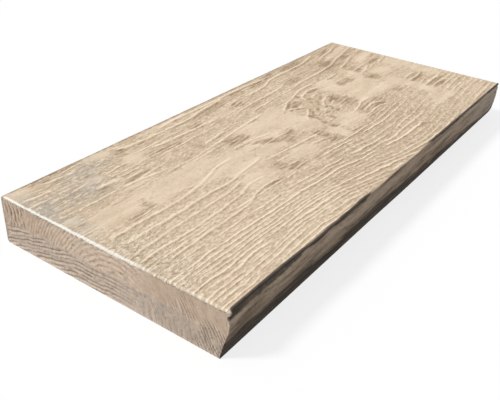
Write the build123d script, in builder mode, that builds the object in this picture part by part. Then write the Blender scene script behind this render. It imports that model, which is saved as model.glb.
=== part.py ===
"""Pool coping stone: one cast concrete block in the shape of a thick timber plank.

Millimetres. +X runs along the length, -Y faces the water and +Z is up.
The origin is on the bedding plane, at the centre of the block's footprint.
The block is its section across the width, carried along the length and cut to its side outline.
"""

import os

from build123d import *

# Overall size of the block
length = 600.0
width = 260.0
thickness = 50.0

# Nose on the water side: drops are measured down from the top, insets back from its foremost line
lip_drop = 3.2
hollow_drop = 8.0
hollow_inset = 2.6
belly_drop = 14.0
belly_inset = 0.8

# Heel: the lower part of the nose leans back to the bedding plane
heel_height = 24.0
heel_inset = 9.4

# Roundings of the section's corners
lip_radius = 1.8
lip_foot_radius = 2.0
hollow_radius = 6.0
belly_radius = 9.0
heel_radius = 45.0
back_radius = 4.0

# Worn arris along the top of both end faces
end_arris_radius = 2.2

# Main hollows worn along the grain of the tread, each placed from the nearer long edge
grain_hollow_width = 18.0
grain_hollow_depth = 1.1
grain_lines_from_nose = [20.0, 50.0, 80.0, 110.0]
grain_lines_from_back = [26.0, 58.0]

# Lines and levels of the section
nose_line = -width / 2
back_line = width / 2
hollow_line = nose_line + hollow_inset
belly_line = nose_line + belly_inset
heel_line = nose_line + heel_inset
lip_foot = thickness - lip_drop
hollow_level = thickness - hollow_drop
belly_top = thickness - belly_drop

# Arc across a grain hollow, through both its edges and its bottom
grain_hollow_radius = ((grain_hollow_width / 2) ** 2 + grain_hollow_depth**2) / (2 * grain_hollow_depth)
grain_arc_level = thickness - grain_hollow_depth + grain_hollow_radius
grain_lines = [nose_line + line for line in grain_lines_from_nose]
grain_lines += [back_line - line for line in grain_lines_from_back]

# Corners of the section in order from the heel, each with the radius of its rounding
section_corners = [
    ((heel_line, 0), 0),
    ((belly_line, heel_height), heel_radius),
    ((belly_line, belly_top), belly_radius),
    ((hollow_line, hollow_level), hollow_radius),
    ((nose_line, lip_foot), lip_foot_radius),
    ((nose_line, thickness), lip_radius),
    ((back_line, thickness), back_radius),
    ((back_line, 0), back_radius),
]

# Corners of the side outline in order from the left end's foot, each with its rounding
side_corners = [
    ((-length / 2, 0), 0),
    ((-length / 2, thickness), end_arris_radius),
    ((length / 2, thickness), end_arris_radius),
    ((length / 2, 0), 0),
]

with BuildPart() as coping_stone:
    # Section across the width, carried along the length
    with BuildSketch(Plane.YZ):
        with BuildLine():
            FilletPolyline(
                [point for point, _ in section_corners],
                radius=[radius for _, radius in section_corners],
                close=True,
            )
        make_face()
    extrude(amount=length / 2, both=True)

    # Side outline, which rounds the top arris of both end faces
    with BuildSketch(Plane.XZ):
        with BuildLine():
            FilletPolyline(
                [point for point, _ in side_corners],
                radius=[radius for _, radius in side_corners],
                close=True,
            )
        make_face()
    extrude(amount=width / 2, both=True, mode=Mode.INTERSECT)

    # Main hollows of the tread, worn along the grain from end to end
    with BuildSketch(Plane.YZ):
        with Locations(*[(line, grain_arc_level) for line in grain_lines]):
            Circle(grain_hollow_radius)
    extrude(amount=length, both=True, mode=Mode.SUBTRACT)

coping_stone.part.label = "coping_stone"
os.makedirs("parts", exist_ok=True)
export_step(coping_stone.part, "parts/coping_stone.step")
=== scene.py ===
"""Looks of a pool coping stone: one concrete block cast to the shape and grain of a weathered plank.

The scene is in metres. The relief of each face is worked out in millimetres, as sunk below the cast faces.
+X runs along the length, -Y faces the water and +Z is up. The near end is the one at -X.
"""

import logging
import math
from dataclasses import dataclass, field
from enum import Enum

import bpy
import numpy as np
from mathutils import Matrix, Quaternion, Vector


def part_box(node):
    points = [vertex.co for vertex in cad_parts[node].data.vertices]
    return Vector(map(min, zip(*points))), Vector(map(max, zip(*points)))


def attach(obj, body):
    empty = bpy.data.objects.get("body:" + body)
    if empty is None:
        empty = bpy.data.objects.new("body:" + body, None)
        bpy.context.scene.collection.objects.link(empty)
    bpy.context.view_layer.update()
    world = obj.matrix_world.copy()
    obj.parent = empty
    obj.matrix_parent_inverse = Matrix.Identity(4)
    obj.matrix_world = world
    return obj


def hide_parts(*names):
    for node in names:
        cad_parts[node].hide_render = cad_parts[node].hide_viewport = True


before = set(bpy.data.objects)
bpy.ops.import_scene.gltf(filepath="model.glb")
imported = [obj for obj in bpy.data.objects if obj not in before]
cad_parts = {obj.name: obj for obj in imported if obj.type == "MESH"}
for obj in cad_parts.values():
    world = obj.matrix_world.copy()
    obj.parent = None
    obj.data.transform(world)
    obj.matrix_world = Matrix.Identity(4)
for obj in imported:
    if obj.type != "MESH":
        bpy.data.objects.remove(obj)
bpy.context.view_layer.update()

Field = np.ndarray
Colour = tuple[float, float, float, float]

MM = 0.001
NODE = "coping_stone"
BODY = "root"

log = logging.getLogger("coping_stone")


class Face(Enum):
    """The kinds of face that the block has; the value is the index of the face's finish."""

    WALKING = 0
    NOSE = 1
    END = 2
    FORMED = 3


class Mark(Enum):
    """The marks that a finish reads from the mesh; the value is the attribute's name.

    Most are shares from 0 to 1. FLOW is a level across the grain in millimetres. LINE counts the fine lines
    of the grain, a whole number on each, and KEPT is how well the line at a place is kept.
    """

    CREST = "crest"
    DEEP = "deep"
    # Stains; on the nose, also the painted shade of the hollow under the lip.
    STAIN_AND_SHADE = "stain"
    WORN_AND_HIGHLIGHT = "worn"
    CRUMB = "crumb"
    FLOW = "flow"
    LINE = "line"
    KEPT = "kept"


def ramp(value: Field, low: float, high: float) -> Field:
    """Eases from 0 to 1 between two limits.

    Args:
        value: What is compared with the limits.
        low: The limit where the result is 0.
        high: The limit where the result is 1, which may be the smaller one.

    Returns:
        The eased share, as large as value.
    """
    share = np.clip((value - low) / (high - low), 0.0, 1.0)
    return share * share * (3.0 - 2.0 * share)


def union(*masks: Field) -> Field:
    """Joins masks softly.

    Args:
        masks: Shares from 0 to 1.

    Returns:
        A share that is high where any of the masks is.
    """
    left_out = 1.0
    for mask in masks:
        left_out = left_out * (1.0 - mask)
    return 1.0 - left_out


def smooth_line(points: list[tuple[float, float]], steps: int = 6) -> Field:
    """Draws a smooth line through points.

    Args:
        points: The points that the line passes through, in order.
        steps: How many straight runs stand for the curve between two points.

    Returns:
        The line's points, one row each.
    """
    knots = np.array([points[0], *points, points[-1]], float)
    share = np.linspace(0.0, 1.0, steps, endpoint=False)[:, None]
    spans = []
    for before, start, end, after in zip(knots[:-3], knots[1:-2], knots[2:-1], knots[3:]):
        straight = 2.0 * start + (end - before) * share
        bend = (2.0 * before - 5.0 * start + 4.0 * end - after) * share**2
        twist = (3.0 * start - before - 3.0 * end + after) * share**3
        spans.append((straight + bend + twist) / 2.0)
    return np.concatenate([*spans, knots[-1:]])


class GrainNoise:
    """Seeded gradient noise on the plane, from about -1 to 1."""

    CELLS = 256

    def __init__(self, seed: int) -> None:
        """Draws the slopes of the noise.

        Args:
            seed: The number that fixes the draw.
        """
        draw = np.random.default_rng(seed)
        self.order = np.tile(draw.permutation(self.CELLS), 2)
        turn = draw.uniform(0.0, 2.0 * math.pi, self.CELLS)
        self.slope_u = np.cos(turn)
        self.slope_v = np.sin(turn)

    def at(self, u: Field, v: Field) -> Field:
        """Reads the noise, whose features are about one unit across.

        Args:
            u: The first coordinate.
            v: The second coordinate.

        Returns:
            The noise at each point.
        """
        u, v = np.broadcast_arrays(u, v)
        column = np.floor(u).astype(int)
        row = np.floor(v).astype(int)
        part_u = u - column
        part_v = v - row
        ease_u = ramp(part_u, 0.0, 1.0)
        ease_v = ramp(part_v, 0.0, 1.0)

        def corner(step_u: int, step_v: int) -> Field:
            """Gives the slope of one corner of each point's cell, run out to the point."""
            key = self.order[self.order[(column + step_u) % self.CELLS] + (row + step_v) % self.CELLS]
            return self.slope_u[key] * (part_u - step_u) + self.slope_v[key] * (part_v - step_v)

        lower = corner(0, 0) * (1.0 - ease_u) + corner(1, 0) * ease_u
        upper = corner(0, 1) * (1.0 - ease_u) + corner(1, 1) * ease_u
        return 1.5 * (lower * (1.0 - ease_v) + upper * ease_v)

    def layers(self, u: Field, v: Field, count: int, gain: float = 0.55) -> Field:
        """Adds ever finer layers of the noise.

        Args:
            u: The first coordinate.
            v: The second coordinate.
            count: How many layers there are, each twice as fine as the last.
            gain: The strength of a layer beside the one before it.

        Returns:
            The sum at each point.
        """
        total = 0.0
        for layer in range(count):
            scale = 2.0**layer
            shift = 31.7 * layer
            total = total + gain**layer * self.at(u * scale + shift, v * scale - shift)
        return total

    def grain(
        self, u: Field, v: Field, size: tuple[float, float], shift: float = 0.0, layers: int = 1
    ) -> Field:
        """Reads the noise in features of a size.

        Args:
            u: Places along the features, in millimetres.
            v: Places across them.
            size: The features' length and width, in millimetres.
            shift: How many widths further on the noise is read, which sets one reading apart from another.
            layers: How many layers are added up.

        Returns:
            The noise at each point.
        """
        return self.layers(u / size[0], v / size[1] + shift, layers)


@dataclass
class Relief:
    """How a face is worn: the depth below its cast line in millimetres, and the marks, at each vertex."""

    depth: Field
    marks: dict[Mark, Field]

    def __post_init__(self) -> None:
        """Sets the marks that the face doesn't have to nothing."""
        for mark in Mark:
            self.marks.setdefault(mark, np.zeros(self.depth.shape))

    @staticmethod
    def joined(parts: list["Relief"]) -> "Relief":
        """Sets the reliefs of faces that follow each other across the block side by side.

        Args:
            parts: The reliefs in order, each with one row for each column along the block.

        Returns:
            One relief for all of them.
        """
        marks = {mark: np.concatenate([part.marks[mark] for part in parts], axis=1) for mark in Mark}
        return Relief(np.concatenate([part.depth for part in parts], axis=1), marks)


@dataclass(frozen=True)
class Zone:
    """A part of a face between bounds, in millimetres; each bound is where the zone starts and is whole."""

    along: tuple[tuple[float, float], ...] = ()
    across: tuple[tuple[float, float], ...] = ()

    def share(self, x: Field, y: Field) -> Field:
        """Shows where the zone lies.

        Args:
            x: Places along the face.
            y: Places across the face.

        Returns:
            1 inside the zone, 0 outside it.
        """
        share = np.ones(x.shape)
        for places, bounds in ((x, self.along), (y, self.across)):
            for bound in bounds:
                share = share * ramp(places, *bound)
        return share


@dataclass(frozen=True)
class Patch:
    """A blotch on a face: its middle and half sizes in millimetres, and its turn in degrees."""

    x: float
    y: float
    half_x: float
    half_y: float
    turn: float = 0.0

    def mask(self, x: Field, y: Field, fray: Field, edge: tuple[float, float]) -> Field:
        """Shows where the blotch lies.

        Args:
            x: Places along the face.
            y: Places across the face.
            fray: How far the edge strays at each place, as a share of the half sizes.
            edge: Where the blotch starts and where it is whole, as shares of the half sizes.

        Returns:
            1 inside the blotch, 0 outside it.
        """
        cos = math.cos(math.radians(self.turn))
        sin = math.sin(math.radians(self.turn))
        along = ((x - self.x) * cos + (y - self.y) * sin) / self.half_x
        across = ((y - self.y) * cos - (x - self.x) * sin) / self.half_y
        reach = (np.abs(along) ** 3 + np.abs(across) ** 3) ** (1.0 / 3.0)
        return ramp(reach + fray, *edge)


@dataclass(frozen=True)
class Vein:
    """A ridge of harder grain: the points it runs through, and its half width, in millimetres."""

    points: tuple[tuple[float, float], ...]
    half: float = 1.0

    def masks(self, x: Field, y: Field, shaded_side_gap: float) -> tuple[Field, Field]:
        """Shows where the ridge stands and where its shaded side lies, both thinning towards its ends.

        Args:
            x: Places along the face.
            y: Places across the face.
            shaded_side_gap: How far the shaded side's middle is from the ridge's crest, in half widths.

        Returns:
            The ridge and its shaded side, from 0 to 1.
        """
        line = smooth_line(list(self.points))
        steps = np.hypot(*np.diff(line, axis=0).T)
        walked = np.concatenate([[0.0], np.cumsum(steps)])
        nearest = np.full(x.shape, np.inf)
        place = np.zeros(x.shape)
        below = np.zeros(x.shape)
        for start, end, before, step in zip(line[:-1], line[1:], walked, steps):
            run_x, run_y = end - start
            share = np.clip(((x - start[0]) * run_x + (y - start[1]) * run_y) / step**2, 0.0, 1.0)
            rise = y - start[1] - share * run_y
            gap = np.hypot(x - start[0] - share * run_x, rise)
            closer = gap < nearest
            nearest = np.where(closer, gap, nearest)
            place = np.where(closer, before + share * step, place)
            below = np.where(closer, -rise, below)
        taper = ramp(np.minimum(place, walked[-1] - place), -2.0, 8.0)
        crest = taper * np.exp(-((nearest / self.half) ** 2))
        side_band = taper * np.exp(-((nearest / self.half - shaded_side_gap) ** 2)) * ramp(below, 0.0, 1.0)
        return crest, side_band


@dataclass
class CastFace:
    """A face of the block, with noise of its own."""

    seed: int
    noise: GrainNoise = field(init=False)

    def __post_init__(self) -> None:
        """Draws the noise."""
        self.noise = GrainNoise(self.seed)


@dataclass
class WalkingFace(CastFace):
    """The top of the block: smooth lands and thin ridges of grain, with crumbly hollows worn between them."""

    seed: int = 11
    recess: float = 1.05
    dense_recess: float = 0.8
    deep_recess: float = 0.6
    land_recess: float = 0.35
    shaded_side_gap: float = 1.9
    land_tone: float = 0.27
    land_edge: tuple[float, float] = (1.3, 0.85)
    hollow_edge: tuple[float, float] = (1.25, 0.75)
    pit_edge: tuple[float, float] = (1.4, 0.5)
    stain_edge: tuple[float, float] = (2.2, 0.1)
    knot_x: float = 76.0
    knot_y: float = 17.0
    knot_lift: float = 17.0
    knot_length: float = 135.0
    knot_spread: float = 60.0
    fan_from: float = -45.0
    fan: float = 0.65
    line_gap: float = 4.8
    line_half: float = 1.05
    line_shaded_side: float = 1.5
    line_strengths: int = 64
    dense_edge: tuple[float, float] = (-56.0, -80.0)
    dense_climb: float = 40.0
    calm_ends: tuple[float, float] = (8.0, 1.5)
    climb_zone: Zone = Zone(along=((-110.0, 90.0),))
    crumbly_zone: Zone = Zone(along=((-60.0, -140.0),), across=((45.0, 70.0),))
    middle_zone: Zone = Zone(along=((-130.0, -30.0), (200.0, 120.0)))
    upper_zone: Zone = Zone(along=((90.0, 180.0),), across=((45.0, 75.0),))
    upper_hollow_zone: Zone = Zone(along=((80.0, -40.0),), across=((50.0, 80.0),))
    near_hollow_zone: Zone = Zone(along=((-60.0, -150.0),))
    paler_zone: Zone = Zone(along=((-60.0, -150.0),), across=((20.0, -20.0),))
    pebbly_zone: Zone = Zone(along=((-225.0, -292.0),), across=((-110.0, -84.0), (14.0, -12.0)))
    faint_zone: Zone = Zone(along=((70.0, 180.0),))
    far_zone: Zone = Zone(along=((100.0, 220.0),))
    last_zone: Zone = Zone(along=((218.0, 238.0),))
    lands: tuple[Patch, ...] = (
        Patch(-256, 27, 33, 13),
        Patch(-190, 24, 44, 17),
        Patch(-142, 28, 24, 13),
        Patch(-135, 6, 44, 7),
        Patch(-110, -8, 26, 9),
        Patch(-289, 117, 13, 8),
        Patch(-193, 119, 15, 6),
        Patch(-168, 88, 17, 9),
        Patch(-228, 86, 11, 5),
        Patch(-292, 47, 8, 6),
        Patch(-205, 50, 20, 3),
        Patch(-112, 16, 22, 8),
        Patch(-90, 14, 34, 7),
        Patch(-40, 42, 26, 8),
        Patch(-12, 24, 46, 15),
        Patch(12, 46, 22, 11),
        Patch(14, -2, 20, 12),
        Patch(-62, -4, 22, 8),
        Patch(-45, -34, 20, 10),
        Patch(22, -38, 9, 12),
        Patch(62, -30, 24, 15),
        Patch(-120, -30, 22, 12),
        Patch(-95, 120, 30, 4),
        Patch(-30, 88, 20, 4),
        Patch(138, 42, 20, 14),
        Patch(165, 14, 42, 22),
        Patch(202, 34, 14, 17),
        Patch(150, -10, 34, 9),
        Patch(192, -16, 24, 9),
        Patch(217, -42, 10, 42),
        Patch(240, 14, 16, 11),
        Patch(284, 14, 17, 17),
        Patch(283, -24, 11, 26),
        Patch(262, 100, 40, 5, 12),
        Patch(268, 62, 22, 7, 12),
        Patch(200, -88, 26, 8),
    )
    hollows: tuple[Patch, ...] = (
        Patch(-275, 107, 6, 7),
        Patch(-168, 109, 8, 5),
        Patch(-150, 82, 10, 6),
        Patch(-128, 80, 22, 4),
        Patch(-232, 66, 10, 4),
        Patch(-192, 60, 15, 4),
        Patch(-250, 123, 26, 4),
        Patch(-245, 11, 13, 4),
        Patch(-227, 17, 4, 9),
        Patch(-69, 35, 15, 8),
        Patch(-47, 6, 17, 5, -28),
        Patch(-16, 3, 8, 4),
        Patch(-30, -5, 8, 6),
        Patch(-70, 92, 9, 5),
        Patch(10, 93, 7, 6),
        Patch(22, 76, 12, 4),
        Patch(-26, 106, 38, 5, 5),
        Patch(36, 113, 12, 5),
        Patch(82, 113, 18, 5),
        Patch(110, 118, 13, 5),
        Patch(168, 118, 28, 5),
        Patch(120, 85, 16, 5),
        Patch(209, 83, 15, 12),
        Patch(216, 48, 9, 6),
        Patch(216, 38, 9, 4),
        Patch(210, 14, 10, 10),
        Patch(165, 31, 17, 6),
        Patch(109, -1, 12, 14),
        Patch(55, 38, 12, 6, 20),
        Patch(246, 113, 15, 3, 12),
        Patch(250, 80, 12, 4, 12),
        Patch(265, 40, 11, 5, 12),
        Patch(-88, -32, 6, 10),
        Patch(-75, -45, 13, 5),
        Patch(5, -28, 6, 14),
        Patch(5, -45, 9, 5),
        Patch(104, -29, 14, 4, 14),
        Patch(138, -29, 10, 5),
        Patch(128, -38, 11, 4),
        Patch(191, -33, 9, 5),
        Patch(250, -36, 20, 4),
        Patch(250, -27, 13, 3),
        Patch(248, -59, 22, 3),
        Patch(246, -68, 16, 3),
        Patch(-120, -48, 14, 4),
    )
    pits: tuple[Patch, ...] = (
        Patch(50, 37, 6, 3.5, 20),
        Patch(46, 43.5, 10, 1.9, 22),
        Patch(109, 46.5, 11, 2.4, -8),
        Patch(78, 51, 2.5, 3),
        Patch(38, 5, 2.6, 6),
        Patch(37.5, -2, 2.4, 4),
        Patch(47, 9.5, 9, 2, 30),
        Patch(78, 20.5, 8, 2.3, 42),
        Patch(53.5, 17.3, 3.6, 1.8, 35),
        Patch(98, 14.8, 10, 1.8, 24),
        Patch(76, 8, 6, 1.7, 18),
        Patch(80, 5, 3, 1.9, 45),
        Patch(77.5, 0.5, 3.6, 1.4, 30),
        Patch(62, 11.5, 4.5, 2.0, 25),
        Patch(63, -2, 4.5, 1.5),
        Patch(78, -7, 4, 2.2, 30),
        Patch(53, -13, 2.4, 6),
        Patch(34, -13, 3.5, 4, -30),
        Patch(33, -26, 3.5, 4),
        Patch(105, 22.5, 5, 1.7, 15),
        Patch(95, 28, 8, 1.7, 25),
        Patch(74, 28, 3, 2.2),
        Patch(83, 36, 3.5, 2.4),
        Patch(36, 32.5, 3.5, 1.7),
    )
    veins: tuple[Vein, ...] = (
        Vein(((-285, -10), (-240, -12), (-180, -12), (-150, -14), (-125, -11), (-100, -9), (-84, -6)), 1.25),
        Vein(((-300, -28), (-270, -26), (-220, -25), (-170, -25), (-140, -22))),
        Vein(((-298, -38), (-275, -37), (-230, -39), (-185, -38), (-160, -36), (-140, -31), (-116, -33))),
        Vein(((-282, -47), (-248, -48))),
        Vein(((-280, -53), (-230, -52), (-175, -52), (-150, -46), (-128, -44), (-106, -48))),
        Vein(
            ((-292, 3), (-250, 3), (-215, 1), (-180, 3), (-160, 7), (-146, 11), (-132, 14), (-108, 15)),
            1.2,
        ),
        Vein(((-262, 116), (-245, 114), (-225, 112)), 1.4),
        Vein(((-300, 104), (-280, 103), (-262, 101)), 1.4),
        Vein(((-300, 92), (-278, 91)), 1.4),
        Vein(((-170, 118), (-155, 113), (-130, 111), (-95, 110), (-60, 110), (-30, 115), (12, 118)), 1.4),
        Vein(((-240, 73), (-215, 70), (-204, 69)), 1.4),
        Vein(((-205, 65), (-183, 65)), 1.4),
        Vein(((-222, 58), (-205, 55), (-190, 53), (-172, 49)), 1.4),
        Vein(((-100, 46), (-78, 48), (-50, 51), (-20, 53), (6, 55)), 1.4),
        Vein(((-100, 55), (-75, 58), (-58, 60)), 1.4),
        Vein(((-104, 118), (-60, 121), (-10, 120), (40, 121), (100, 118)), 1.4),
        Vein(((-2, 97), (10, 101), (22, 103)), 1.4),
        Vein(((38, 99), (60, 101), (82, 103), (104, 110), (150, 111), (188, 112), (226, 121)), 1.4),
        Vein(((-22, 74), (-5, 79), (20, 82), (55, 82), (85, 84), (104, 89))),
        Vein(((26, 38), (38, 44), (54, 51), (70, 54), (84, 58), (100, 61), (130, 61)), 1.3),
        Vein(
            ((75, 34), (76.5, 39), (78.5, 44), (82, 47), (92, 49.8), (103, 52.3), (112, 52), (122, 48)),
            1.3,
        ),
        Vein(((-88, 24), (-62, 24), (-45, 20), (-30, 16))),
        Vein(((98, 73), (130, 75), (165, 75), (196, 77), (216, 80), (236, 86), (268, 91), (300, 97)), 1.4),
        Vein(((212, 101), (235, 106), (258, 109), (292, 119)), 1.4),
        Vein(((204, 62), (222, 65), (242, 70), (258, 74)), 1.4),
        Vein(((208, 43), (230, 44), (250, 47)), 1.4),
        Vein(((210, 31), (234, 36), (246, 41)), 1.4),
        Vein(((258, 28), (270, 34), (288, 37), (300, 41)), 1.2),
        Vein(((284, 57), (300, 64)), 1.4),
        Vein(((150, 54), (184, 56)), 1.4),
        Vein(((-86, -14), (-65, -17), (-35, -20), (0, -24))),
        Vein(((-86, -25), (-58, -27))),
        Vein(((-84, -38), (-64, -41))),
        Vein(((-26, -30), (-8, -35), (14, -41))),
        Vein(((82, -25), (92, -23), (102, -21), (112, -18), (122, -17), (138, -18)), 1.3),
        Vein(((88, -35), (104, -31.5), (122, -29.5), (140, -38)), 1.4),
        Vein(((91, -42), (106, -40), (122, -40.5), (138, -46)), 1.2),
        Vein(((-142, 94), (-128, 90), (-100, 89), (-71, 87.5), (-45, 86)), 1.4),
        Vein(((226, -31), (248, -32), (270, -29)), 1.4),
        Vein(((226, -55), (248, -54), (276, -55)), 1.2),
        Vein(((228, -63), (270, -64)), 1.4),
        Vein(((228, -23), (262, -22)), 1.4),
        Vein(((33, 38), (42, 34.5), (50, 30), (58, 26.5)), 1.3),
        Vein(((26, 3), (34, 10.5), (43, 14.5), (49, 19), (57, 23.5)), 1.3),
        Vein(((72, 9), (80, 15), (88, 20.5), (97, 22.5), (106, 26)), 1.2),
        Vein(((82, 6), (92, 9.2), (103, 12))),
        Vein(((62, 5), (70, 4.5), (77, 4))),
        Vein(((56, -7), (63, -5), (70, -3.5))),
        Vein(((80, -9), (86, -5.5), (93, -3))),
        Vein(((42, 0), (48, 4), (57, 6))),
        Vein(((88, 36), (98, 38), (108, 36))),
    )
    stains: tuple[Patch, ...] = (
        Patch(-250, 78, 26, 13, -8),
        Patch(-294, 66, 10, 34),
        Patch(-222, 106, 24, 10),
        Patch(-285, 86, 16, 10),
    )
    line_strength: Field = field(init=False)

    def __post_init__(self) -> None:
        """Draws the noise and the fine lines' strengths."""
        super().__post_init__()
        self.line_strength = np.random.default_rng(self.seed).uniform(0.0, 1.0, self.line_strengths)

    def grain_level(self, x: Field, y: Field) -> Field:
        """Follows the grain, which parts round the knot, climbs by the far end and fans out towards the nose.

        Args:
            x: Places along the face.
            y: Places across the face.

        Returns:
            The level across the face that the grain at each place comes from.
        """
        reach = (y - self.knot_y) / self.knot_spread
        parting = np.sign(reach) * (1.0 - np.exp(-3.0 * np.abs(reach))) * np.exp(-0.35 * np.abs(reach))
        swell = np.exp(-(((x - self.knot_x) / self.knot_length) ** 2))
        climb = 0.16 * np.maximum(0.0, x - 150.0) * ramp(y, 0.0, 60.0)
        drift = 3.0 * self.noise.grain(x, y, (150.0, 50.0)) + self.noise.grain(x, y, (48.0, 15.0))
        level = y - self.knot_lift * parting * swell - climb + drift
        wider = 1.0 + self.fan * ramp(x, -150.0, 100.0) * (1.0 - 0.25 * ramp(x, 100.0, 280.0))
        below = np.minimum(0.0, level - self.fan_from)
        return level - below + below / wider

    def fine_lines(self, x: Field, level: Field, dense: Field) -> tuple[Field, Field]:
        """Counts the many thin ridges that follow the grain.

        Args:
            x: Places along the face.
            level: The grain's level at each place.
            dense: How close together the ridges are kept, from 0 to 1.

        Returns:
            The count, a whole number on each ridge, and how well each is kept, from 0 to 1.
        """
        wobble = 0.8 * self.noise.grain(x, level, (13.0, 9.0), 40.0)
        wobble = wobble + 1.4 * self.noise.grain(x, level, (38.0, 15.0), 55.0)
        wobble = wobble * (1.0 - 0.55 * ramp(x, 30.0, 150.0))
        uneven = 1.7 * self.noise.at(level / 11.0, 3.3)
        count = (level + wobble + uneven) / self.line_gap
        number = np.rint(count).astype(int)
        strength = self.line_strength[number % len(self.line_strength)]
        held = ramp(self.noise.layers(x / 46.0, number * 3.7, 2) + 0.2 * dense, -0.6, 0.2)
        shown = 0.65 * ramp(strength, 0.4, 0.7)
        weakest = 0.45 + 0.25 * ramp(x, -60.0, -160.0)
        return count, held * (weakest + (1.0 - weakest) * strength) * (shown + (1.0 - shown) * dense)

    def bold_veins(self, x: Field, y: Field) -> tuple[Field, Field]:
        """Shows the ridges that stand out by themselves, and their shaded sides.

        Args:
            x: Places along the face.
            y: Places across the face.

        Returns:
            The ridges and their shaded sides, from 0 to 1.
        """
        wander = 0.5 * self.noise.grain(x, y, (14.0, 9.0)) + 0.4 * self.noise.grain(x, y, (8.0, 9.0), 20.0)
        masks = [vein.masks(x, y + wander, self.shaded_side_gap) for vein in self.veins]
        crest, side_band = (np.max([pair[side] for pair in masks], axis=0) for side in (0, 1))
        held = ramp(self.noise.grain(x, y, (9.0, 5.0), 90.0), -1.1, -0.3)
        return crest * held, side_band * held

    def blotches(self, x: Field, y: Field, level: Field) -> tuple[Field, Field, Field, Field]:
        """Shows the blotches of the face, whose edges fray along the grain.

        Args:
            x: Places along the face.
            y: Places across the face.
            level: The grain's level at each place.

        Returns:
            The lands, the hollows, the pits and the stains, from 0 to 1.
        """
        fray = 0.42 * self.noise.grain(x, level, (30.0, 4.0), 7.0)
        fray = fray + 0.34 * self.noise.grain(x, level, (10.0, 2.6), layers=2)
        land, hollow, pit, stain = (
            np.max([patch.mask(x, y, stray * fray, edge) for patch in patches], axis=0)
            for patches, stray, edge in (
                (self.lands, 1.0, self.land_edge),
                (self.hollows, 0.9, self.hollow_edge),
                (self.pits, 0.4, self.pit_edge),
                (self.stains, 2.0, self.stain_edge),
            )
        )
        hollow = hollow * ramp(self.noise.grain(x, level, (26.0, 2.5), 11.0, 2), -1.0, -0.1)
        return land * (1.0 - hollow), hollow, pit, stain

    def relief(self, x: Field, y: Field, from_end: Field) -> Relief:
        """Works out the relief and the marks of the face.

        Args:
            x: Places along the face, in millimetres.
            y: Places across the face.
            from_end: The distance of each place from the nearer end of the block.

        Returns:
            The relief at each place.
        """
        noise = self.noise
        level = self.grain_level(x, y)
        land, hollow, pit, stain = self.blotches(x, y, level)
        bare = 1.0 - land
        dense = ramp(y - self.dense_climb * self.climb_zone.share(x, y), *self.dense_edge)
        calm = ramp(from_end, *self.calm_ends) * ramp(x, 0.0, 1.0)
        crumbly = self.crumbly_zone.share(x, y)
        middle = dense * self.middle_zone.share(x, y)
        distant = self.far_zone.share(x, y)
        pebbly = self.pebbly_zone.share(x, y)
        paler = self.paler_zone.share(x, y)

        # Ridges and their shaded sides, which are sunk a little; the bold ridges' shaded sides are also
        # painted shade
        bold, bold_shaded_side = self.bold_veins(x, y)
        count, kept = self.fine_lines(x, level, np.max([dense, 0.7 * hollow, 0.15 * crumbly], axis=0))
        faint = 0.65 * self.faint_zone.share(x, y) * (1.0 - 0.45 * self.last_zone.share(x, y))
        kept = kept * (1.0 - faint) * (1.0 - 0.85 * land)
        kept = kept * (1.0 - union(bold, bold_shaded_side, pit, calm, 0.6 * stain))
        apart = (count - np.rint(count)) * self.line_gap
        fine = kept * np.exp(-((apart / self.line_half) ** 2))
        fine_shaded_side = kept * np.exp(-(((apart + self.line_shaded_side) / self.line_half) ** 2))
        patchy = union(0.7 * crumbly * (1.0 - 0.5 * stain), 0.3 * (1.0 - dense))
        patchy = patchy * (1.0 - union(land, hollow, calm))
        wriggles = patchy * ramp(np.abs(noise.grain(x, level, (13.0, 5.0), 25.0)), 0.16, 0.02)
        veins = np.max([bold, fine, wriggles], axis=0)
        side_band = np.maximum(bold_shaded_side, fine_shaded_side) * (1.0 - veins)

        # Depth
        crumbs = ramp(noise.grain(x, level, (8.0, 3.0), layers=3), 0.0, 0.7)
        rough = noise.layers(x / 14.0 + 20.0, level / 3.0, 3)
        recess = self.recess + (self.dense_recess - self.recess) * dense
        sweep = 0.12 * noise.grain(x, level, (34.0, 4.0))
        floor = bare * (recess + 0.3 * rough - 0.35 * crumbs) + land * (self.land_recess + sweep)
        floor = floor + self.deep_recess * (hollow + pit) + 0.2 * side_band
        depth = np.maximum(0.0, floor * (1.0 - veins))
        depth = depth + calm * (self.land_recess - depth)

        # Dark marks
        brown = ramp(noise.grain(x, level, (30.0, 4.0), 60.0, 3), -0.05, 0.75)
        streaks = distant * bare * noise.grain(x, level, (80.0, 2.6), 80.0)
        shade_and_tone = 0.52 - 0.24 * self.near_hollow_zone.share(x, y) - 0.14 * self.upper_hollow_zone.share(x, y)
        # Painted shade on the bold ridges' shaded sides, added to the darker tones of the face.
        shade_and_tone = hollow * shade_and_tone + 0.5 * bold_shaded_side * (1.0 - 0.4 * land) + 0.3 * bare * ramp(rough, -0.1, -0.9)
        tinted = 0.15 * middle + 0.22 * self.upper_zone.share(x, y) + 0.1 * crumbly
        shade_and_tone = shade_and_tone + bare * (tinted + 0.34 * brown * (1.0 - 0.7 * paler))
        shade_and_tone = union(np.clip(shade_and_tone - 0.3 * streaks, 0.0, 1.0), 0.82 * pit)

        # Light marks
        light = bare * (0.25 * crumbs + 0.08 * paler + 0.05 * pebbly)
        light = np.clip(light + 0.2 * np.maximum(0.0, streaks), 0.0, 1.0)
        tone = self.land_tone * (1.0 + noise.grain(x, level, (40.0, 9.0), 3.0))
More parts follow.
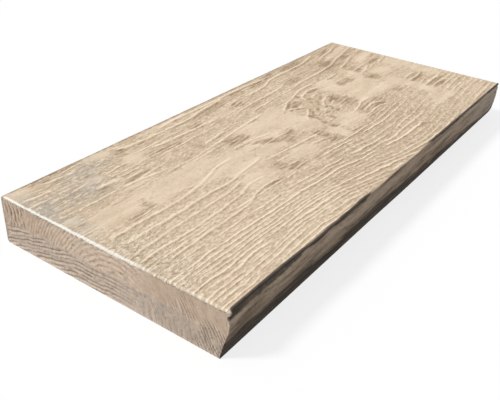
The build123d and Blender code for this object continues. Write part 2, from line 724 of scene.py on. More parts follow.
        # The pale top arris of the near end is worn concrete and painted highlight, in beads where the ridges
        # reach it.
        beads = np.where(x < 0.0, 1.0, 0.05) * (1.0 - (1.0 - veins) * ramp(y, -20.0, -60.0))
        crumb = (1.0 - 0.75 * land) * (1.0 - 0.8 * veins)
        marks = {
            Mark.CREST: union((1.0 - 0.3 * distant) * bold, tone * land, light, 0.5 * wriggles),
            Mark.DEEP: shade_and_tone * (1.0 - veins),
            Mark.STAIN_AND_SHADE: union(stain, 0.2 * pebbly),
            Mark.WORN_AND_HIGHLIGHT: beads * ramp(from_end + 0.5 * noise.grain(x, y, (3.0, 6.0)), 2.6, 1.0),
            Mark.CRUMB: crumb * (1.0 + 0.3 * middle - 0.2 * distant + 0.5 * pebbly),
            Mark.FLOW: level,
            Mark.LINE: count,
            Mark.KEPT: kept,
        }
        return Relief(depth, marks)


@dataclass
class NoseFace(CastFace):
    """The edge over the water: a chipped lip, a hollow under it that fades away, and a smooth heel."""

    seed: int = 23
    break_depth: float = 2.5
    break_ends: tuple[float, float] = (-298.6, -165.0)
    crack_end: float = -72.0
    hollow_ends: tuple[float, float] = (-235.0, 40.0)
    lip_levels: tuple[float, float] = (40.5, 46.5)
    crack_level: float = 45.8
    highlight_level: float = 40.5
    shadow_levels: tuple[float, float] = (45.4, 47.4)
    cove_line: tuple[tuple[float, float], ...] = (
        (-302, 40.5),
        (-240, 40.8),
        (-206, 41.8),
        (-198, 43.6),
        (-191, 45.8),
        (-184, 43.8),
        (-172, 42.6),
        (-150, 44.4),
        (-130, 42.8),
        (-108, 43.4),
        (-86, 43.4),
        (-70, 50.5),
        (40, 51.0),
        (75, 47.5),
        (105, 45.8),
        (135, 46.0),
        (165, 47.2),
        (240, 48.4),
        (302, 46.6),
    )
    # Where the heel's painted shade starts, along the block.
    heel_shade_line: tuple[tuple[float, float], ...] = (
        (-302, 21),
        (-250, 23),
        (-205, 27.5),
        (-186, 28),
        (-166, 22),
        (-130, 22),
        (-110, 28),
        (0, 28),
        (60, 24.5),
        (120, 23),
        (180, 20.5),
        (240, 18.5),
        (302, 15),
    )
    near_profile: tuple[tuple[float, float], ...] = (
        (-128.3, 50.0),
        (-129.6, 49.5),
        (-130.0, 48.4),
        (-129.9, 47.0),
        (-128.9, 45.4),
        (-127.5, 43.6),
        (-127.2, 42.0),
        (-127.8, 39.8),
        (-128.7, 37.4),
        (-129.1, 34.5),
        (-128.9, 31.0),
        (-128.2, 27.0),
        (-126.9, 22.6),
        (-125.3, 17.4),
        (-123.6, 11.6),
        (-122.1, 5.6),
        (-120.6, 0.0),
    )
    far_profile: tuple[tuple[float, float], ...] = (
        (-128.3, 50.0),
        (-129.6, 49.5),
        (-130.0, 48.4),
        (-130.0, 45.0),
        (-130.0, 38.0),
        (-129.8, 32.0),
        (-129.4, 26.0),
        (-128.8, 20.0),
        (-127.9, 14.5),
        (-126.4, 9.5),
        (-124.2, 5.0),
        (-120.6, 0.0),
    )

    def line(self, x: Field, z: Field) -> Field:
        """Gives the section of the nose along the block.

        Args:
            x: Places along the block, in a column.
            z: Heights above the bed, in a row.

        Returns:
            How far out the nose stands at each place and height.
        """
        near, far = (smooth_line(list(points))[::-1] for points in (self.near_profile, self.far_profile))
        near_line = np.interp(z, near[:, 1], near[:, 0])
        far_line = np.interp(z, far[:, 1], far[:, 0])
        filled = ramp(x, *self.hollow_ends)
        foremost = min(y for y, _ in self.near_profile)
        line = np.maximum((1.0 - filled) * near_line + filled * far_line, foremost)
        return line + self.lip_break(x) * ramp(z, *self.lip_levels)

    def broken(self, x: Field) -> Field:
        """Shows the stretch by the near end where the lip is broken off, from 0 to 1."""
        start, end = self.break_ends
        uneven = 9.0 * self.noise.at(x / 26.0, 61.0)
        return ramp(x, start, start + 3.0) * ramp(x + uneven, end, end - 70.0)

    def cracked(self, x: Field) -> Field:
        """Shows the stretch past the broken one where a crack runs under the lip, from 0 to 1."""
        start = self.break_ends[1]
        uneven = 12.0 * self.noise.at(x / 22.0, 64.0)
        return ramp(x, start - 90.0, start) * ramp(x + uneven, self.crack_end + 10.0, self.crack_end - 10.0)

    def lip_break(self, x: Field) -> Field:
        """Gives how far back the lip's edge is broken along the block, in millimetres."""
        chips = ramp(self.noise.layers(x / 15.0, 70.0, 3), 0.1, 0.8) * (1.2 - 0.8 * ramp(x, -90.0, -30.0))
        cracked = 0.8 * self.cracked(x) * (0.6 + self.noise.at(x / 18.0, 66.0))
        return np.maximum(self.break_depth * self.broken(x), np.maximum(chips, cracked))

    def relief(self, x: Field, z: Field, from_end: Field) -> Relief:
        """Works out the relief and the marks of the nose.

        Args:
            x: Places along the block, in millimetres.
            z: Heights above the bed.
            from_end: The distance of each place from the nearer end of the block.

        Returns:
            The relief at each place.
        """
        noise = self.noise
        flow = z + 6.0 * noise.grain(x, z, (75.0, 30.0))
        streaks = noise.grain(x, flow, (62.0, 4.6), layers=3)
        heel, cove_foot = (
            np.interp(x, *smooth_line(list(line)).T) for line in (self.heel_shade_line, self.cove_line)
        )
        belly = ramp(z - heel - 2.6 * noise.grain(x, flow, (22.0, 6.0), layers=2), -7.0, 4.0)
        cove = ramp(z - cove_foot + 0.7 * noise.grain(x, z, (12.0, 5.0), layers=2), -0.7, 0.9)
        crack = ramp(np.abs(z - self.crack_level - 1.2 * noise.at(x / 40.0, 3.0)), 2.2, 0.5)
        crack = crack * np.maximum(self.cracked(x), 0.7 * ramp(x, 40.0, 90.0))
        depth = 0.4 * (1.0 - streaks) * (0.35 + 0.65 * belly) + crack
        depth = np.maximum(0.0, depth - 0.2) * ramp(z, 0.0, 3.0)
        # A painted highlight in a band along the belly, just below the hollow.
        shoulder_highlight = np.exp(-(((z - self.highlight_level) / 4.5) ** 2))
        shoulder_highlight = shoulder_highlight * (0.35 + 0.25 * ramp(x, -180.0, -120.0))
        lifted = 0.15 * ramp(x, -180.0, -260.0) + 0.45 * ramp(x, 100.0, 260.0)
        lifted = lifted + 0.2 * ramp(np.abs(x + 20.0), 70.0, 40.0)
        crest = np.clip(0.37 + shoulder_highlight + 0.6 * streaks + lifted, 0.0, 1.0)
        # Below the heel line the nose is painted near black as the shade of the heel, which faces down; the
        # streaks' dark parts are tone.
        deep = union(0.4 * ramp(streaks, 0.05, -0.8), 0.97 * (1.0 - belly))
        shadow = 0.75 * ramp(z + 0.8 * noise.at(x / 9.0, 33.0), *self.shadow_levels)
        faded = 0.5 * ramp(x, 150.0, 290.0) * belly * (1.0 - cove) * ramp(streaks, -0.6, 0.4)
        # The hollow under the lip is painted dark: painted shade under the lip over its dark staining, near
        # black by the near end, with a painted shadow line under the lip.
        marks = {
            Mark.CREST: crest * (1.0 - cove),
            Mark.DEEP: deep * (1.0 - cove) + cove * np.maximum(0.7 * ramp(x, -262.0, -297.0), shadow),
            Mark.STAIN_AND_SHADE: cove,
            # The nose's arris at the ends is pale as wear and painted highlight; faded is a paler tone by the
            # far end.
            Mark.WORN_AND_HIGHLIGHT: np.maximum(0.4 * ramp(from_end, 2.0, 0.6) * ramp(z, 20.0, 46.0), faded),
            Mark.CRUMB: np.full(depth.shape, 0.35),
            Mark.FLOW: flow,
        }
        return Relief(depth, marks)


@dataclass
class EndGrain(CastFace):
    """An end of the block: growth rings in two boards' worth of grain, one above the other."""

    seed: int = 37
    heart: tuple[float, float] = (-12.0, -8.0)
    ring_radii: tuple[float, ...] = (0.0, 55.0, 75.0, 160.0)
    ring_gaps: tuple[float, ...] = (5.6, 5.0, 3.2, 2.8)
    board_gap: float = 3.9
    board_bend: float = 32.0
    board_slope: float = 0.29
    split: float = 25.0
    ring_steps: int = 321
    board_ease: float = 12.0
    back_lean: float = 0.3
    back_gap: float = 5.2
    nose_lean: float = 0.62
    nose_gap: float = 3.8
    worn_and_highlight_levels: tuple[float, float] = (46.8, 47.9)

    def lines(self, y: Field, z: Field, above_split: Field) -> tuple[Field, Field]:
        """Counts the lines of grain: rings above the split, boards' lines below it and strokes by both edges.

        Args:
            y: Places across the end, in millimetres.
            z: Heights above the bed.
            above_split: How far above the split each place is.

        Returns:
            The count, a whole number on each line, and how well each is kept, from 0 to 1.
        """
        noise = self.noise
        warp = noise.grain(y, z, (24.0, 15.0)) + 0.45 * noise.grain(y, z, (8.0, 6.0))
        radius = np.hypot(y - self.heart[0], z - self.heart[1]) + warp
        scale = np.linspace(0.0, self.ring_radii[-1], self.ring_steps)
        gaps = np.interp(scale, self.ring_radii, self.ring_gaps)
        walked = np.concatenate([[0.0], np.cumsum(np.diff(scale) / gaps[1:])])
        rings = np.interp(radius, scale, walked)
        rings_kept = ramp(above_split, 0.5, 2.5) * ramp(y, -58.0, -10.0) * ramp(y, 98.0, 84.0)
        rings_kept = rings_kept * (0.34 + 0.25 * noise.grain(y, z, (16.0, 11.0), 30.0))

        rise = self.board_ease * np.logaddexp(0.0, (y - self.board_bend) / self.board_ease)
        boards = (z + self.board_slope * rise + 1.4 * warp) / self.board_gap
        boards = boards + 0.2 * noise.grain(y, z, (30.0, 9.0))
        boards_kept = ramp(above_split, -0.5, -2.5) * ramp(y, -50.0, 15.0)
        boards_kept = boards_kept * ramp(noise.at(y / 17.0, 1.6 * boards), -0.6, 0.1)

        lean = y - self.back_lean * z
        by_back = lean / self.back_gap + 0.5 * noise.grain(lean, z, (11.0, 12.0), 50.0)
        back_kept = ramp(above_split, -2.0, 1.0) * ramp(y, 97.0, 102.0) * ramp(y, 129.0, 122.0)
        back_kept = back_kept * ramp(noise.at(z / 6.0, 2.3 * np.rint(by_back)), -0.4, 0.1)

        lean = y - self.nose_lean * z
        by_nose = lean / self.nose_gap + 0.45 * noise.grain(lean, z, (9.0, 14.0), 70.0)
        low = ramp(y + 0.3 * z, -84.0, -102.0) * ramp(z, 37.0, 24.0)
        middle = 0.7 * ramp(np.abs(y + 84.0), 24.0, 6.0) * ramp(np.abs(z - 31.0), 18.0, 4.0)
        nose_kept = np.maximum(low, middle) * ramp(noise.at(z / 8.0, 1.9 * np.rint(by_nose)), -0.45, 0.15)

        counts = np.stack([rings, boards, by_back, by_nose])
        all_kept = np.stack([rings_kept, boards_kept, back_kept, 0.9 * nose_kept])
        best = np.argmax(all_kept, axis=0)[None]
        count, kept = (np.take_along_axis(choices, best, axis=0)[0] for choices in (counts, all_kept))
        return count, np.clip(kept, 0.0, 1.0)

    def relief(self, y: Field, z: Field, from_rim: Field) -> Relief:
        """Works out the relief and the marks of the end.

        Args:
            y: Places across the end, in millimetres.
            z: Heights above the bed.
            from_rim: The distance of each place from the end's outline.

        Returns:
            The relief at each place.
        """
        noise = self.noise
        above_split = z + 3.2 * noise.at(y / 22.0, 2.0) + 1.2 * noise.at(y / 7.0, 4.0) - self.split
        above = ramp(above_split, -1.5, 1.5)
        count, kept = self.lines(y, z, above_split)
        grain = kept * np.cos(2.0 * math.pi * count)
        smooth = above * ramp(y, -20.0, -60.0)
        rough = noise.grain(y, z, (3.4, 3.4), layers=3) * (1.0 - 0.5 * smooth)
        depth = 0.5 - 0.4 * grain - 0.12 * rough
        depth = np.maximum(0.0, depth) * ramp(from_rim, 0.0, 3.0)
        bright = above * ramp(np.abs(y - 12.0), 80.0, 25.0)
        mottle = noise.layers((y - 0.5 * z) / 9.0, z / 13.0 + 90.0, 2) * ramp(y, 0.0, -50.0)
        dull = (0.08 + 0.1 * (1.0 - above)) * ramp(y, -30.0, -70.0)
        marks = {
            Mark.CREST: np.clip(0.36 + 0.4 * bright + 0.16 * rough + 0.3 * mottle, 0.0, 1.0),
            Mark.DEEP: union(dull, 0.35 * ramp(rough, -0.1, -0.9)),
            Mark.STAIN_AND_SHADE: 1.0 - above,
            # The pale top arris of each end: worn concrete and painted highlight.
            Mark.WORN_AND_HIGHLIGHT: ramp(z + 0.5 * noise.at(y / 4.0, 8.0), *self.worn_and_highlight_levels),
            Mark.CRUMB: 0.36 - 0.12 * smooth + 0.2 * (1.0 - above) * ramp(y, -20.0, -60.0),
            Mark.FLOW: np.hypot(y - self.heart[0], z - self.heart[1]),
            Mark.LINE: count,
            Mark.KEPT: kept,
        }
        return Relief(depth, marks)


@dataclass
class FormedFace(CastFace):
    """The back of the block, cast against the mould: faint streaks and a few blow holes."""

    seed: int = 41

    def relief(self, x: Field, z: Field) -> Relief:
        """Works out the relief and the marks of the back.

        Args:
            x: Places along the block, in millimetres.
            z: Heights above the bed.

        Returns:
            The relief at each place.
        """
        noise = self.noise
        streaks = noise.grain(x, z, (48.0, 3.4), layers=3)
        holes = ramp(noise.grain(x, z, (8.0, 4.0)), 0.72, 0.95)
        depth = (0.22 * np.maximum(0.0, 1.0 - streaks) + 0.8 * holes) * ramp(z, 0.0, 4.0)
        crest = np.clip(0.5 + 0.45 * streaks, 0.0, 1.0)
        deep = np.clip(0.8 * holes + 0.3 * ramp(streaks, -0.1, -0.9), 0.0, 1.0)
        flow = np.broadcast_to(z, depth.shape)
        marks = {Mark.CREST: crest, Mark.DEEP: deep, Mark.CRUMB: np.full(depth.shape, 0.4), Mark.FLOW: flow}
        return Relief(depth, marks)


class Signal:
    """A shader socket that takes part in Python arithmetic; each operation adds a Math node."""

    def __init__(self, graph: "FinishGraph", socket: bpy.types.NodeSocket) -> None:
        """Keeps the socket and the graph that it belongs to."""
        self.graph = graph
        self.socket = socket

    def __add__(self, other: "Signal | float") -> "Signal":
        """Gives the sum."""
        return self.graph.math("ADD", self, other)

    __radd__ = __add__

    def __sub__(self, other: "Signal | float") -> "Signal":
        """Gives the difference."""
        return self.graph.math("SUBTRACT", self, other)

    def __rsub__(self, other: float) -> "Signal":
        """Gives the difference of a number and the value."""
        return self.graph.math("SUBTRACT", other, self)

    def __mul__(self, other: "Signal | float") -> "Signal":
        """Gives the product."""
        return self.graph.math("MULTIPLY", self, other)

    __rmul__ = __mul__

    def clipped(self) -> "Signal":
        """Gives the value held between 0 and 1."""
        return self.graph.node("ShaderNodeClamp", inputs={"Value": self})


class FinishGraph:
    """Adds nodes to one node tree."""

    NOISE_ROUGHNESS = 0.62

    def __init__(self, tree: bpy.types.NodeTree) -> None:
        """Empties the tree.

        Args:
            tree: The node tree of a material or of the world.
        """
        self.tree = tree
        tree.nodes.clear()

    def node(
        self,
        kind: str,
        settings: dict[str, object] | None = None,
        inputs: dict[str | int, object] | None = None,
        output: str | int = 0,
    ) -> Signal:
        """Adds one node.

        Args:
            kind: The node's type.
            settings: The node's own settings, which are set first.
            inputs: The values or links of its sockets, by name or number.
            output: The socket that the result stands for.

        Returns:
            The node's output.
        """
        made = self.tree.nodes.new(kind)
        for name, value in (settings or {}).items():
            setattr(made, name, value)
        for key, value in (inputs or {}).items():
            if isinstance(value, Signal):
                self.tree.links.new(value.socket, made.inputs[key])
            else:
                made.inputs[key].default_value = value
        return Signal(self, made.outputs[output]) if len(made.outputs) else Signal(self, made.inputs[0])

    def math(self, operation: str, first: Signal | float, second: Signal | float) -> Signal:
        """Adds a Math node for two values."""
        return self.node("ShaderNodeMath", {"operation": operation}, {0: first, 1: second})

    def mark(self, mark: Mark) -> Signal:
        """Reads a mark of the mesh."""
        return self.node("ShaderNodeAttribute", {"attribute_name": mark.value}, output="Fac")

    def blend(self, amount: Signal | float, first: Signal | Colour, second: Signal | Colour) -> Signal:
        """Mixes two colours."""
        return self.node("ShaderNodeMix", {"data_type": "RGBA"}, {0: amount, 6: first, 7: second}, output=2)

    def grain(self, place: Signal, scale: float, detail: float) -> Signal:
        """Reads three-dimensional noise of a number of features to the unit, from 0 to 1."""
        inputs = {"Vector": place, "Scale": scale, "Detail": detail, "Roughness": self.NOISE_ROUGHNESS}
        return self.node("ShaderNodeTexNoise", None, inputs)

    def drawn(self, place: Signal, length: float, width: float) -> Signal:
        """Measures places along the grain in lengths and across it in widths, both in millimetres."""
        x, y = (self.node("ShaderNodeSeparateXYZ", None, {"Vector": place}, axis) for axis in ("X", "Y"))
        lengths = 1.0 / (length * MM)
        across = self.mark(Mark.FLOW) * (1.0 / width)
        return self.node("ShaderNodeCombineXYZ", None, {"X": x * lengths, "Y": across, "Z": y * lengths})

    def near_line(self, count: Signal, half: float) -> Signal:
        """Gives 1 on a line of the grain and 0 from a half width on, which is a share of the lines' gap."""
        gap = self.math("PINGPONG", count, 0.5) * (1.0 / half)
        return (1.0 - gap * gap).clipped()


@dataclass(frozen=True)
class CastFinish:
    """Dry cast concrete, tinted like weathered timber. Colours are linear."""

    name: str
    ground: Colour
    crest: Colour
    deep: Colour
    stain: Colour
    # worn: the colour of the pale arrises, worn concrete and painted highlight.
    worn: Colour = (0.92, 0.87, 0.78, 1.0)
    tint: Colour = (0.66, 0.50, 0.37, 1.0)
    stain_share: float = 0.32
    sand_scale: float = 900.0
    cloud_scale: float = 42.0
    grit: tuple[float, float] = (4.4, 2.5)
    streak: tuple[float, float] = (34.0, 2.2)
    crumb_light: float = 3.8
    crumb_dark: float = 3.3
    streak_light: float = 0.9
    streak_dark: float = 2.0
    line_half: float = 0.215
    line_light: float = 1.05
    line_stray: float = 0.2
    # The band beside each line: painted shade beside the walking face's ridges, and the dark ring line on the
    # ends.
    shade_and_ring_shift: float = 0.26
    shade_and_ring_half: float = 0.17
    shade_and_ring_dark: float = 0.55
    bump: float = 0.9
    bump_depth: float = 0.0015
    roughness: float = 0.93
    crest_polish: float = 0.08
    specular: float = 0.2
    tint_from: float = 0.4
    tint_gain: float = 3.0
    stain_least: float = 0.2
    stain_cloud: float = 1.6
    crumb_dark_below: float = 0.45
    sand_dark: float = 0.5
    sand_height: float = 0.15

    def material(self) -> bpy.types.Material:
        """Makes the finish's material.

        Returns:
            The material, made of nodes.
        """
        made = bpy.data.materials.new(self.name)
        made.use_nodes = True
        graph = FinishGraph(made.node_tree)
        place = graph.node("ShaderNodeTexCoord", output="Object")
        sand = graph.grain(place, self.sand_scale, 2.0)
        cloud = graph.grain(place, self.cloud_scale, 4.0)
        grit = graph.grain(graph.drawn(place, *self.grit), 1.0, 4.0)
        streak = graph.grain(graph.drawn(place, *self.streak), 1.0, 3.0) - 0.5
        crumb = graph.mark(Mark.CRUMB)
        kept = graph.mark(Mark.KEPT)
        count = graph.mark(Mark.LINE) + (grit - 0.5) * self.line_stray
        line = kept * graph.near_line(count, self.line_half)
        side_band = kept * graph.near_line(count + self.shade_and_ring_shift, self.shade_and_ring_half) * (1.0 - line)

        colour = graph.blend(((cloud - self.tint_from) * self.tint_gain).clipped(), self.ground, self.tint)
        cloudy = self.stain_least + cloud * self.stain_cloud
        stain = (graph.mark(Mark.STAIN_AND_SHADE) * cloudy * self.stain_share).clipped()
        colour = graph.blend(stain, colour, self.stain)
        light = crumb * ((grit - 0.5) * self.crumb_light + streak * self.streak_light)
        light = (graph.mark(Mark.CREST) + line * self.line_light + light).clipped()
        colour = graph.blend(light, colour, self.crest)
        # The band beside each line darkens the colour: painted shade beside the walking face's ridges, dark
        # ring lines on the ends.
        dark = crumb * (self.crumb_dark_below - grit).clipped() * self.crumb_dark + side_band * self.shade_and_ring_dark
        dark = (graph.mark(Mark.DEEP) * (1.0 + streak * self.streak_dark) + dark).clipped()
        colour = graph.blend(dark, colour, self.deep)
        colour = graph.blend((sand - 0.5).clipped() * self.sand_dark, colour, self.deep)
        # Pales the arrises: worn concrete and painted highlight.
        colour = graph.blend(graph.mark(Mark.WORN_AND_HIGHLIGHT).clipped(), colour, self.worn)

        height = sand * self.sand_height + grit * crumb
        bump = graph.node(
            "ShaderNodeBump",
            None,
            {"Strength": self.bump, "Distance": self.bump_depth, "Height": height},
        )
        roughness = self.roughness - graph.mark(Mark.CREST) * self.crest_polish
        shader = graph.node(
            "ShaderNodeBsdfPrincipled",
            None,
            {
                "Base Color": colour,
                "Roughness": roughness,
                "Normal": bump,
                "Specular IOR Level": self.specular,
            },
        )
        graph.node("ShaderNodeOutputMaterial", None, {"Surface": shader})
        return made


FINISHES = {
    Face.WALKING: CastFinish(
        name="walking_face_concrete",
        ground=(0.67, 0.537, 0.377, 1.0),
        tint=(0.685, 0.52, 0.382, 1.0),
        crest=(0.98, 0.83, 0.64, 1.0),
        deep=(0.38, 0.265, 0.165, 1.0),
        stain=(0.45, 0.43, 0.395, 1.0),
        stain_share=0.74,
    ),
    Face.NOSE: CastFinish(
        name="nose_concrete",
        ground=(0.54, 0.40, 0.285, 1.0),
        tint=(0.54, 0.39, 0.27, 1.0),
        crest=(0.91, 0.72, 0.545, 1.0),
        # deep paints the heel's shade and the shadow line under the lip; stain paints the hollow under the
        # lip, shade over dark staining.
        deep=(0.108, 0.088, 0.073, 1.0),
        stain=(0.19, 0.158, 0.134, 1.0),
        stain_share=0.95,
    ),
    Face.END: CastFinish(
        name="end_grain_concrete",
        ground=(0.65, 0.495, 0.36, 1.0),
        tint=(0.665, 0.48, 0.35, 1.0),
        crest=(0.95, 0.755, 0.585, 1.0),
        deep=(0.31, 0.225, 0.165, 1.0),
        stain=(0.62, 0.54, 0.475, 1.0),
        stain_share=0.75,
        grit=(4.0, 2.6),
        streak=(30.0, 1.6),
        line_half=0.24,
        line_light=0.45,
        shade_and_ring_shift=0.45,
        shade_and_ring_half=0.26,
        shade_and_ring_dark=0.75,
    ),
    Face.FORMED: CastFinish(
        name="formed_face_concrete",
        ground=(0.52, 0.42, 0.31, 1.0),
        tint=(0.53, 0.41, 0.30, 1.0),
        crest=(0.70, 0.58, 0.44, 1.0),
        deep=(0.30, 0.23, 0.16, 1.0),
        stain=(0.47, 0.42, 0.37, 1.0),
    ),
}


@dataclass
class CopingStone:
    """The whole block: one closed skin over the back, the top and the nose, with the two ends and the bed."""

    length: float
    width: float
    thickness: float
    back_round: float = 4.0
    lip_round: float = 1.7
    end_arris: float = 2.2
    side_arris: float = 1.0
    end_steps: tuple[float, ...] = (0.0, 0.15, 0.4, 0.75, 1.2, 1.75, 2.4, 3.3, 4.8)
    columns: int = 204
    knot_columns: tuple[float, float] = (80.0, 50.0)
    knot_columns_gain: float = 1.9
    top_rows: int = 284
    side_rows: int = 34
    fine_rows: tuple[float, float] = (-25.0, -45.0)
    fine_rows_gain: float = 1.5
    station_steps: int = 1201
    top_steps: int = 521
    round_steps: int = 12
    nose_even: float = 0.35
    nose_power: float = 2.2
    tread_ease: float = 16.0
    bed_clear: float = 3.0
    sharp_angle: float = 50.0
    map_size: float = 690.0
    map_gap: float = 6.0
    walking: WalkingFace = field(default_factory=WalkingFace)
    nose: NoseFace = field(default_factory=NoseFace)
    ends: tuple[EndGrain, EndGrain] = (EndGrain(37), EndGrain(53))
    back: FormedFace = field(default_factory=FormedFace)

    @classmethod
    def from_frame(cls) -> "CopingStone":
        """Takes the block's size from its node in the frame."""
        low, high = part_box(NODE)
        return cls(*((high - low) / MM))

    def stations(self) -> Field:
        """Gives the places of the columns along the block, closer together at the ends and the knot."""
        half = self.length / 2.0
        steps = np.array(self.end_steps)
        scale = np.linspace(-half + steps[-1], half - steps[-1], self.station_steps)
        near_knot = ramp(np.abs(scale - self.walking.knot_x), *self.knot_columns)
        inner = self.spread(scale, 1.0 + (self.knot_columns_gain - 1.0) * near_knot, self.columns)[1:-1]
        return np.concatenate([-half + steps, inner, (half - steps)[::-1]])

    @staticmethod
    def spread(scale: Field, closeness: Field, count: int) -> Field:
        """Spreads places over a scale.

        Args:
            scale: The scale, in even steps.
            closeness: How close together the places are at each step, beside each other.
            count: How many places there are.

        Returns:
            The places, from the scale's first to its last.
        """
        walked = np.concatenate([[0.0], np.cumsum((closeness[1:] + closeness[:-1]) / 2.0)])
        return np.interp(np.linspace(0.0, walked[-1], count), walked, scale)

    def back_section(self) -> tuple[Field, Field]:
        """Gives the back's line from the bed to the top.

        Returns:
            How far back it stands and its height, at each row.
        """
        turn = np.linspace(0.0, math.pi / 2.0, self.round_steps)
        sine = self.back_round * np.sin(turn)
        cosine = self.back_round * np.cos(turn)
        inner = self.width / 2.0 - self.back_round
        y = np.concatenate([inner + sine, inner + cosine])
        z = np.concatenate([self.back_round - cosine, self.thickness - self.back_round + sine])
        walked = np.concatenate([[0.0], np.cumsum(np.hypot(np.diff(y), np.diff(z)))])
        rows = np.linspace(0.0, walked[-1], self.side_rows + 1)
        return np.interp(rows, walked, y), np.interp(rows, walked, z)

    def top_section(self) -> Field:
        """Gives the places of the rows across the top, closer together towards the nose."""
        first = self.width / 2.0 - self.back_round
        last = -self.width / 2.0 + self.lip_round
        scale = np.linspace(first, last, self.top_steps)
        near_nose = ramp(scale, *self.fine_rows)
        closeness = 1.0 + (self.fine_rows_gain - 1.0) * near_nose
        return self.spread(scale, closeness, self.top_rows + 1)

    def nose_levels(self) -> Field:
        """Gives the heights of the rows down the nose, closer together at the lip."""
        share = np.linspace(0.0, 1.0, self.side_rows + 1)
        drop = self.nose_even * share + (1.0 - self.nose_even) * share**self.nose_power
        return self.thickness * (1.0 - drop)

    @staticmethod
    def rounding(from_end: Field, radius: Field) -> Field:
        """Gives how far a rounded arris of a radius sinks at a distance from the end."""
        left = np.maximum(0.0, radius - from_end)
        return radius - np.sqrt(np.maximum(0.0, radius**2 - left**2))

    def skin(self, x: Field) -> tuple[Field, Relief]:
        """Works out the skin over the back, the top and the nose.

        Args:
            x: The places of the columns.

        Returns:
            The places of the vertices, by column and row, and their relief.
        """
        column = x[:, None]
        from_end = self.length / 2.0 - np.abs(column)
        back_y, back_z = self.back_section()
        top_y = self.top_section()
        nose_z = self.nose_levels()
        wide = np.ones_like(column)
        nose_y = self.nose.line(column, nose_z[None, :])
        by_lip = ramp(top_y[:-1], top_y[-1] + self.tread_ease, top_y[-1])
        tread_y = top_y[:-1] + (nose_y[:, :1] - top_y[-1]) * by_lip
        y = np.concatenate([wide * back_y[:-1], tread_y, nose_y], axis=1)
        level = np.concatenate([back_z[:-1], np.full(self.top_rows, self.thickness), nose_z])
        z = wide * level
        run_y = np.gradient(y, axis=1)
        run_z = np.gradient(z, axis=1)
        run = np.hypot(run_y, run_z)

        parts = [
            self.back.relief(column, wide * back_z[:-1]),
            self.walking.relief(column * np.ones(self.top_rows), tread_y, from_end),
            self.nose.relief(column, wide * nose_z, from_end),
        ]
        relief = Relief.joined(parts)
        radius = np.full(y.shape, self.side_arris)
        on_top = slice(self.side_rows, self.side_rows + self.top_rows)
        uneven = 0.45 * self.walking.noise.at(top_y[:-1] / 9.0, np.sign(column) * 5.0)
        radius[:, on_top] = self.end_arris + uneven
        clear_of_bed = ramp(z, 0.0, self.bed_clear)
        sunk = relief.depth + self.rounding(from_end, radius) * clear_of_bed
        sunk_y = y - sunk * run_z / run
        sunk_z = z + sunk * run_y / run
        places = np.stack([column * np.ones_like(y), sunk_y, sunk_z], axis=2)
        places[:, 0, 2] = 0.0
        places[:, -1, 2] = 0.0
        return places, relief

    def cap(self, rim: Field, face: EndGrain, side: float) -> tuple[Field, Relief]:
        """Fills one end inside its outline.

        Args:
            rim: The vertices of the skin's column at that end.
            face: The grain of that end.
            side: -1 for the near end and 1 for the far end.

        Returns:
            The places of the end's vertices, by row across and row up, and their relief.
        """
        back = rim[: self.side_rows + 1, 1:]
        top = rim[self.side_rows : self.side_rows + self.top_rows + 1, 1:]
        nose = rim[self.side_rows + self.top_rows :, 1:][::-1]
        across = (top[:, 0] - top[0, 0]) / (top[-1, 0] - top[0, 0])
        bed = back[0] + across[:, None] * (nose[0] - back[0])
        u = across[:, None, None]
        v = np.linspace(0.0, 1.0, self.side_rows + 1)[None, :, None]
        places = (1.0 - v) * bed[:, None] + v * top[:, None] + (1.0 - u) * back[None] + u * nose[None]
        back_chord = (1.0 - v) * back[0] + v * back[-1]
        nose_chord = (1.0 - v) * nose[0] + v * nose[-1]
        places = places - (1.0 - u) * back_chord - u * nose_chord
        y = places[..., 0]
        z = places[..., 1]
        from_rim = np.minimum(np.minimum(z, z.max() - z), np.minimum(y.max() - y, y - y.min()))
        relief = face.relief(y, z, from_rim)
        x = side * (self.length / 2.0 - relief.depth)
        return np.stack([x, y, z], axis=2), relief

    def build(self) -> bpy.types.Object:
        """Makes the block's mesh.

        Returns:
            The block, closed, with its marks and its map.
        """
        x = self.stations()
        skin, skin_relief = self.skin(x)
        rows = skin.shape[1]
        number = np.arange(skin.shape[0] * rows).reshape(skin.shape[:2])
        places = [skin.reshape(-1, 3)]
        marks = {mark: [skin_relief.marks[mark].ravel()] for mark in Mark}
        total = number.size

